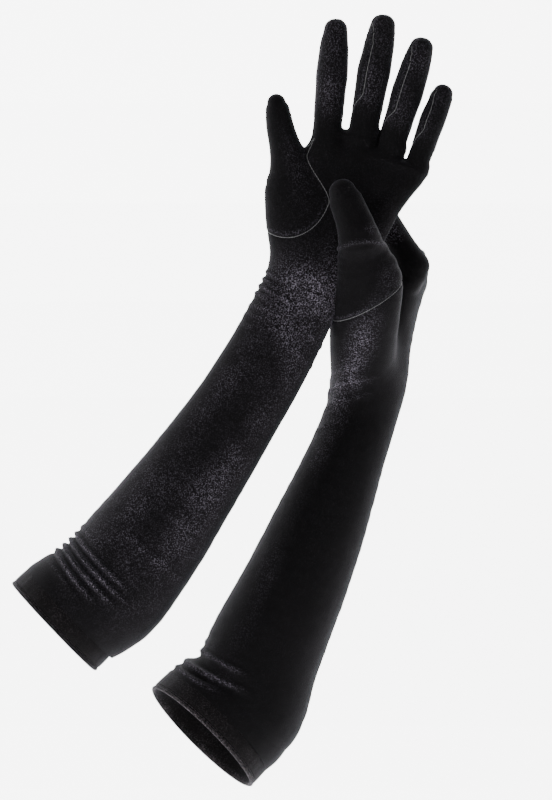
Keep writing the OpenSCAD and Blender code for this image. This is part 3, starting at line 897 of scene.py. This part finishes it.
def velvet(name, dark, light, sheen=0.05):
    """Short pile, near black, with speckled glints painted into its colour: painted highlights, lighter where the
    brushed attribute paints sheen and highlights.
    """
    material, tree, bsdf = new_material(name)
    link = tree.links.new
    where = node_of(tree, "ShaderNodeTexCoord").outputs["Object"]

    grain = node_of(tree, "ShaderNodeTexNoise")
    grain.inputs["Scale"].default_value = 950
    grain.inputs["Detail"].default_value = 3
    grain.inputs["Roughness"].default_value = 0.65
    link(where, grain.inputs["Vector"])
    # the brightest specks of the fine grain become painted glints
    spark = node_of(tree, "ShaderNodeMapRange")
    spark.inputs["From Min"].default_value = 0.48
    spark.inputs["From Max"].default_value = 0.78
    link(grain.outputs["Fac"], spark.inputs["Value"])

    # random patches in how much sheen is painted
    brushed = node_of(tree, "ShaderNodeTexNoise")
    brushed.inputs["Scale"].default_value = 32
    brushed.inputs["Detail"].default_value = 4
    brushed.inputs["Roughness"].default_value = 0.6
    link(where, brushed.inputs["Vector"])
    patch = node_of(tree, "ShaderNodeMapRange")
    patch.inputs["From Min"].default_value = 0.35
    patch.inputs["From Max"].default_value = 0.7
    patch.inputs["To Min"].default_value = 0.25
    link(brushed.outputs["Fac"], patch.inputs["Value"])

    # how much sheen and highlight is painted, set on each panel
    sheen_attribute = node_of(tree, "ShaderNodeAttribute", attribute_name="brushed")
    sheen_share = node_of(tree, "ShaderNodeMath", operation="MULTIPLY")
    link(patch.outputs["Result"], sheen_share.inputs[0])
    link(sheen_attribute.outputs["Fac"], sheen_share.inputs[1])
    amount = node_of(tree, "ShaderNodeMath", operation="MULTIPLY")
    link(spark.outputs["Result"], amount.inputs[0])
    link(sheen_share.outputs[0], amount.inputs[1])
    # painted glints and sheen: the colour goes from dark to the light colour by the painted amount
    colour = node_of(tree, "ShaderNodeMix", data_type="RGBA")
    colour.inputs["A"].default_value = (*dark, 1)
    colour.inputs["B"].default_value = (*light, 1)
    link(amount.outputs[0], colour.inputs["Factor"])
    link(colour.outputs["Result"], bsdf.inputs["Base Color"])

    rough = node_of(tree, "ShaderNodeMapRange")
    rough.inputs["To Min"].default_value = 0.95
    rough.inputs["To Max"].default_value = 0.62
    link(amount.outputs[0], rough.inputs["Value"])
    link(rough.outputs["Result"], bsdf.inputs["Roughness"])

    bump = node_of(tree, "ShaderNodeBump")
    bump.inputs["Strength"].default_value = 0.55
    bump.inputs["Distance"].default_value = 0.0006
    link(grain.outputs["Fac"], bump.inputs["Height"])
    link(bump.outputs["Normal"], bsdf.inputs["Normal"])
    bsdf.inputs["Specular IOR Level"].default_value = 0.08
    bsdf.inputs["Sheen Weight"].default_value = sheen
    bsdf.inputs["Sheen Roughness"].default_value = 0.42
    bsdf.inputs["Sheen Tint"].default_value = (0.62, 0.60, 0.74, 1)
    return material


def braided(name, bright=1.0):
    """Elastic tape or thread: fine ribs along its length."""
    material, tree, bsdf = new_material(name)
    link = tree.links.new
    where = node_of(tree, "ShaderNodeTexCoord").outputs["Object"]
    ribs = node_of(tree, "ShaderNodeTexWave")
    ribs.inputs["Scale"].default_value = 260
    ribs.inputs["Distortion"].default_value = 1.2
    link(where, ribs.inputs["Vector"])
    colour = node_of(tree, "ShaderNodeMix", data_type="RGBA")
    colour.inputs["A"].default_value = (0.012 * bright, 0.012 * bright, 0.013 * bright, 1)
    colour.inputs["B"].default_value = (0.05 * bright, 0.05 * bright, 0.052 * bright, 1)
    link(ribs.outputs["Fac"], colour.inputs["Factor"])
    link(colour.outputs["Result"], bsdf.inputs["Base Color"])
    bump = node_of(tree, "ShaderNodeBump")
    bump.inputs["Strength"].default_value = 0.4
    bump.inputs["Distance"].default_value = 0.0003
    link(ribs.outputs["Fac"], bump.inputs["Height"])
    link(bump.outputs["Normal"], bsdf.inputs["Normal"])
    bsdf.inputs["Roughness"].default_value = 0.7
    return material


def plain_pale(name):
    material, tree, bsdf = new_material(name)
    bsdf.inputs["Base Color"].default_value = (0.9, 0.9, 0.9, 1)
    bsdf.inputs["Roughness"].default_value = 1.0
    bsdf.inputs["Emission Color"].default_value = (1, 1, 1, 1)
    link = tree.links.new
    parts = node_of(tree, "ShaderNodeSeparateXYZ")
    link(node_of(tree, "ShaderNodeTexCoord").outputs["Object"], parts.inputs["Vector"])
    glow = node_of(tree, "ShaderNodeMapRange")
    glow.inputs["From Min"].default_value = -1.0
    glow.inputs["From Max"].default_value = 1.2
    glow.inputs["To Min"].default_value = 0.12
    glow.inputs["To Max"].default_value = 4.6
    link(parts.outputs["Y"], glow.inputs["Value"])
    link(glow.outputs["Result"], bsdf.inputs["Emission Strength"])
    return material


# the second colour of each velvet is the colour of its painted glints and sheen
VELVET = velvet("velvet", (0.0012, 0.0011, 0.0013), (0.170, 0.152, 0.190))
STRIP_VELVET = velvet("fourchette_velvet", (0.0011, 0.0010, 0.0012), (0.145, 0.132, 0.165))
HEM_VELVET = velvet("hem_velvet", (0.0013, 0.0011, 0.0012), (0.165, 0.142, 0.158))
ELASTIC = braided("elastic_tape")
# lighter than the elastic: the thread paints the seams' line of sheen
SEAM_SHEEN_THREAD = braided("sewing_thread", 1.5)


# ---------------------------------------------------------------- making a glove

BODY_OF = {
    "palm_panel": "hand", "back_panel": "hand", "forearm_front": "forearm",
    "forearm_back": "forearm", "cuff_front": "cuff", "cuff_back": "cuff",
    "thumb_lower": "thumb_lower", "thumb_upper": "thumb_upper",
}


def ride_panel(glove, label, piece):
    """Attaches the cuff's panels to the cuff's body; every other panel keeps its place, with its transform baked into
    its mesh.
    """
    name = glove.name
    if label.startswith("cuff"):
        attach(piece, f"{name}_cuff")
    elif label.startswith("forearm"):
        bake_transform(piece)
    elif label in ("palm_panel", "back_panel"):
        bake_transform(piece)
    elif label == "thumb_lower":
        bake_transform(piece)
    elif label == "thumb_upper":
        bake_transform(piece)
    else:
        finger, _, segment = label.split("_")
        i = FINGERS.index(finger)
        if segment == "lower":
            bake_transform(piece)
        else:
            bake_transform(piece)


def make_hem(glove):
    """Turned hem: the cloth folds inwards round the arm opening and holds the elastic."""
    n = glove.hem_way
    u = side_of(n)
    v = np.cross(n, u)
    r, w, leaf, thick = glove.hem_r, HEM_WIDTH, 0.8, HEM_THICK
    fold = []
    for k in range(9):
        turn = math.pi * (k / 8)
        fold.append((r - thick / 2 + math.cos(turn) * (thick / 2 + 0.25), -0.6 - 1.4 * math.sin(turn)))
    outside = [(r - 0.5, w), (r - 0.25, w * 0.72), (r - 0.1, w * 0.45), (r - 0.1, 2.6), (r - 0.45, 1.6),
               (r - 0.3, 0.9), (r + 0.15, 0.2)]
    inside = [(r - thick, w * 0.3), (r - thick - 0.1, w * 0.62), (r - thick, w)]
    hollow = [(r - thick + leaf, w), (r - thick + leaf, 0.6), (r - leaf - 0.5, 0.6), (r - leaf - 0.5, w)]
    outline = outside + fold + inside + hollow
    rounds = 160
    points, tris = [], []
    for k in range(rounds):
        t = 2 * math.pi * k / rounds
        ripple = 0.10 * math.sin(17 * t + 0.6) + 0.07 * math.sin(41 * t)
        out = u * math.cos(t) + v * math.sin(t)
        for radius, height in outline:
            outer = 1 if radius > r - 0.7 else 0
            points.append(glove.hem + out * (radius + ripple * outer) + n * height)
    m = len(outline)
    for k in range(rounds):
        for i in range(m):
            a, b = k * m + i, k * m + (i + 1) % m
            c, d = (k + 1) % rounds * m + (i + 1) % m, (k + 1) % rounds * m + i
            tris += [(a, b, c), (a, c, d)]
    points, tris = np.array(points), np.array(tris)
    middle = glove.hem + n * w / 2
    p = points[tris]
    flat = np.cross(p[:, 1] - p[:, 0], p[:, 2] - p[:, 0])
    centre = p.mean(1) - middle
    along = centre @ n
    radial = centre - along[:, None] * n
    if (flat * radial).sum(1)[np.linalg.norm(radial, axis=1) > r - 0.5].mean() < 0:
        tris = tris[:, ::-1].copy()
    normals = vertex_normals(points, tris)
    piece = mesh_piece(f"{glove.name}_hem", points, tris, normals[tris].reshape(-1, 3), HEM_VELVET)
    # painted sheen along the hem's folded edge at the opening
    set_painted_sheen(piece, 0.14 + 0.7 * smoothstep(2.0, -0.5, (points - glove.hem) @ n))
    # the strip is folded, so its cut width is twice the hem's
    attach(piece, f"{glove.name}_cuff")
    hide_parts(f"{glove.name}_hem_band")


def make_stitches(glove):
    """The row of stitches that holds the turned hem."""
    n = glove.hem_way
    u = side_of(n)
    v = np.cross(n, u)
    count = 104
    points, tris, normals = [], [], []
    for k in range(count):
        t = 2 * math.pi * k / count
        out = u * math.cos(t) + v * math.sin(t)
        along = -u * math.sin(t) + v * math.cos(t)
        centre = glove.hem + out * (glove.hem_r - 0.42) + n * 1.55
        base = len(points)
        for x, radius in ((-1.05, 0.05), (-0.7, 0.2), (0, 0.24), (0.7, 0.2), (1.05, 0.05)):
            for j in range(6):
                a = math.pi * j / 3
                around = out * math.sin(a) + n * math.cos(a)
                points.append(centre + along * x + around * radius)
                normals.append(around)
        for ring in range(4):
            for j in range(6):
                a, b = base + ring * 6 + j, base + ring * 6 + (j + 1) % 6
                tris += [(a, a + 6, b + 6), (a, b + 6, b)]
        for j in range(1, 5):
            tris += [(base, base + j, base + j + 1), (base + 24, base + 25 + j, base + 24 + j)]
    points, tris, normals = np.array(points), np.array(tris), np.array(normals)
    piece = mesh_piece(f"{glove.name}_hem_stitches", points, tris, normals[tris].reshape(-1, 3), ELASTIC)
    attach(piece, f"{glove.name}_cuff")


def make_seam_sheen_thread(glove, panels, label, normals):
    """The line of thread along a panel's seams, a fine cord laid over each edge of the seam, coloured light to paint
    the seam's line of sheen.
    """
    skin = panels.skin
    number = panels.number(label)
    tris = skin.tris[skin.label == number]
    edges = np.vstack([tris[:, [0, 1]], tris[:, [1, 2]], tris[:, [2, 0]]])
    chosen = np.zeros(len(edges), bool)
    for value_of, labels in panels.seams:
        if number in labels:
            ends = np.unique(edges)
            on = np.zeros(len(skin.base), bool)
            on[ends] = np.abs(value_of(skin.base[ends])) < ON_SEAM
            chosen |= on[edges].all(1)
    edges = np.unique(np.sort(edges[chosen], axis=1), axis=0)
    rim = np.sort(np.vstack([tris[:, [0, 1]], tris[:, [1, 2]], tris[:, [2, 0]]]), axis=1)
    kinds, times = np.unique(rim, axis=0, return_counts=True)
    border = {tuple(e) for e in kinds[times == 1]}
    edges = [e for e in edges if tuple(e) in border]
    if len(edges) < 6:
        return
    points, faces, around = [], [], []
    for a, b in edges:
        p, q = skin.place[a], skin.place[b]
        way = unit(q - p)
        up = unit(normals[a] + normals[b])
        up = unit(up - way * (up @ way))
        side = np.cross(way, up)
        base = len(points)
        for end, normal in ((p - way * 0.05, normals[a]), (q + way * 0.05, normals[b])):
            for k in range(THREAD_SIDES):
                t = 2 * math.pi * k / THREAD_SIDES
                out = up * math.sin(t) + side * math.cos(t)
                points.append(end + normal * 0.12 + out * THREAD_HALF)
                around.append(out)
        for k in range(THREAD_SIDES):
            a0, a1 = base + k, base + (k + 1) % THREAD_SIDES
            b0, b1 = a0 + THREAD_SIDES, a1 + THREAD_SIDES
            faces += [(a0, b0, b1), (a0, b1, a1)]
        for k in range(1, THREAD_SIDES - 1):
            top = base + THREAD_SIDES
            faces += [(base, base + k, base + k + 1), (top, top + k + 1, top + k)]
    points, faces, around = np.array(points), np.array(faces), np.array(around)
    piece = mesh_piece(f"{glove.name}_{label}_thread", points, faces, around[faces].reshape(-1, 3), SEAM_SHEEN_THREAD)
    ride_panel(glove, label, piece)


def make_glove(name):
    glove = Glove(name)
    skin = build_skin(glove)
    press_folds(glove, skin)
    panels = Panels(glove, skin)
    cut_fingers(glove, panels)
    cut_thumb(glove, panels)
    cut_sleeve(glove, panels)
    roll = panels.press_seams()
    normals = vertex_normals(skin.place, skin.tris)
    # painted sheen along the rolled cloth beside each seam
    brushed = painted_sheen_of(glove, skin.place) + 0.42 * roll
    crest = sleeve_folds(glove, skin.base, glove.sleeve.measure(skin.base, True)[1])
    if not glove.left:
        # painted highlights: a line along the crease at the thumb's base, and a spot beside the thumb's middle joint
        height, _ = thumb_crease(glove, skin.base)
        brushed += 0.7 * np.exp(-((height / 1.5) ** 2))
        spot = np.linalg.norm((skin.base - glove.thumb_mid)[:, [0, 2]] - (10.0, 0.5), axis=1)
        brushed += 0.6 * np.exp(-((spot / 4.5) ** 2)) * (skin.base[:, 1] < 0)
    # painted highlights along the crests of the sleeve's folds
    brushed = np.maximum(brushed + 0.75 * np.clip(crest - 0.45, -0.25, 1.4), 0.02)
    for number, label in enumerate(panels.names):
        tris = skin.tris[skin.label == number]
        if not len(tris):
            continue
        strip = "fourchette" in label
        piece, area = cloth_shell(f"{name}_{label}_cloth", skin.place, normals, tris, brushed,
                                  STRIP_VELVET if strip else VELVET)
        declare_cloth(piece, area, np.linalg.norm(np.ptp(skin.place[np.unique(tris)], axis=0)) * 0.9)
        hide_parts(f"{name}_{label}")
        ride_panel(glove, label, piece)
        if strip or label == "thumb_lower":
            make_seam_sheen_thread(glove, panels, label, normals)
        print("panel", name, label, len(tris), round(area))
    make_hem(glove)
    make_stitches(glove)
    frame["nodes"][f"{name}_hem_elastic"].data.materials.clear()
    frame["nodes"][f"{name}_hem_elastic"].data.materials.append(ELASTIC)


# ---------------------------------------------------------------- camera, light and floor

def make_camera():
    """Far off, straight at the pair, as wide as the reference picture."""
    distance = 6.0
    picture_height = 0.608
    aim = Vector((0.1679, 0, 0.1713))
    data = bpy.data.cameras.new("camera")
    data.sensor_fit = "VERTICAL"
    data.sensor_height = 36
    data.lens = 36 * distance / picture_height
    data.clip_end = 50
    data.dof.use_dof = False
    camera = bpy.data.objects.new("camera", data)
    camera.location = aim + Vector((0, -distance, 0))
    camera.rotation_euler = (math.pi / 2, 0, 0)
    bpy.context.scene.collection.objects.link(camera)
    bpy.context.scene.camera = camera


def make_light(name, place, aim, size, power):
    data = bpy.data.lights.new(name, "AREA")
    data.shape = "DISK"
    data.size = size
    data.energy = power
    light = bpy.data.objects.new(name, data)
    light.location = place
    light.rotation_euler = (Vector(aim) - Vector(place)).to_track_quat("-Z", "Y").to_euler()
    bpy.context.scene.collection.objects.link(light)


def make_stage():
    """A pale sweep: floor, curve and back wall."""
    floor_z, wall_y, bend, half = -0.32, 2.2, 0.8, 9.0
    outline = [(-9.0, floor_z), (wall_y - bend, floor_z)]
    for k in range(1, 13):
        t = math.pi / 2 * k / 12
        outline.append((wall_y - bend + bend * math.sin(t), floor_z + bend - bend * math.cos(t)))
    outline.append((wall_y, 7.0))
    points = [(x, y, z) for y, z in outline for x in (-half, half)]
    faces = [(2 * k, 2 * k + 1, 2 * k + 3, 2 * k + 2) for k in range(len(outline) - 1)]
    mesh = bpy.data.meshes.new("stage")
    mesh.from_pydata(points, [], faces)
    mesh.materials.append(plain_pale("stage_white"))
    stage = bpy.data.objects.new("stage", mesh)
    bpy.context.scene.collection.objects.link(stage)


def make_world():
    world = bpy.data.worlds.new("studio")
    world.use_nodes = True
    world.node_tree.nodes["Background"].inputs["Color"].default_value = (1, 1, 1, 1)
    world.node_tree.nodes["Background"].inputs["Strength"].default_value = 0.3
    bpy.context.scene.world = world


make_camera()
make_world()
make_stage()
CENTRE = (0.15, 0.0, 0.17)
make_light("key", (-2.4, -1.9, 1.5), CENTRE, 1.2, 120)
make_light("fill", (1.6, -2.6, 1.4), CENTRE, 1.8, 14)
make_light("rim", (-1.6, 0.9, 1.9), CENTRE, 1.0, 30)

for glove_name in GLOVES:
    make_glove(glove_name)
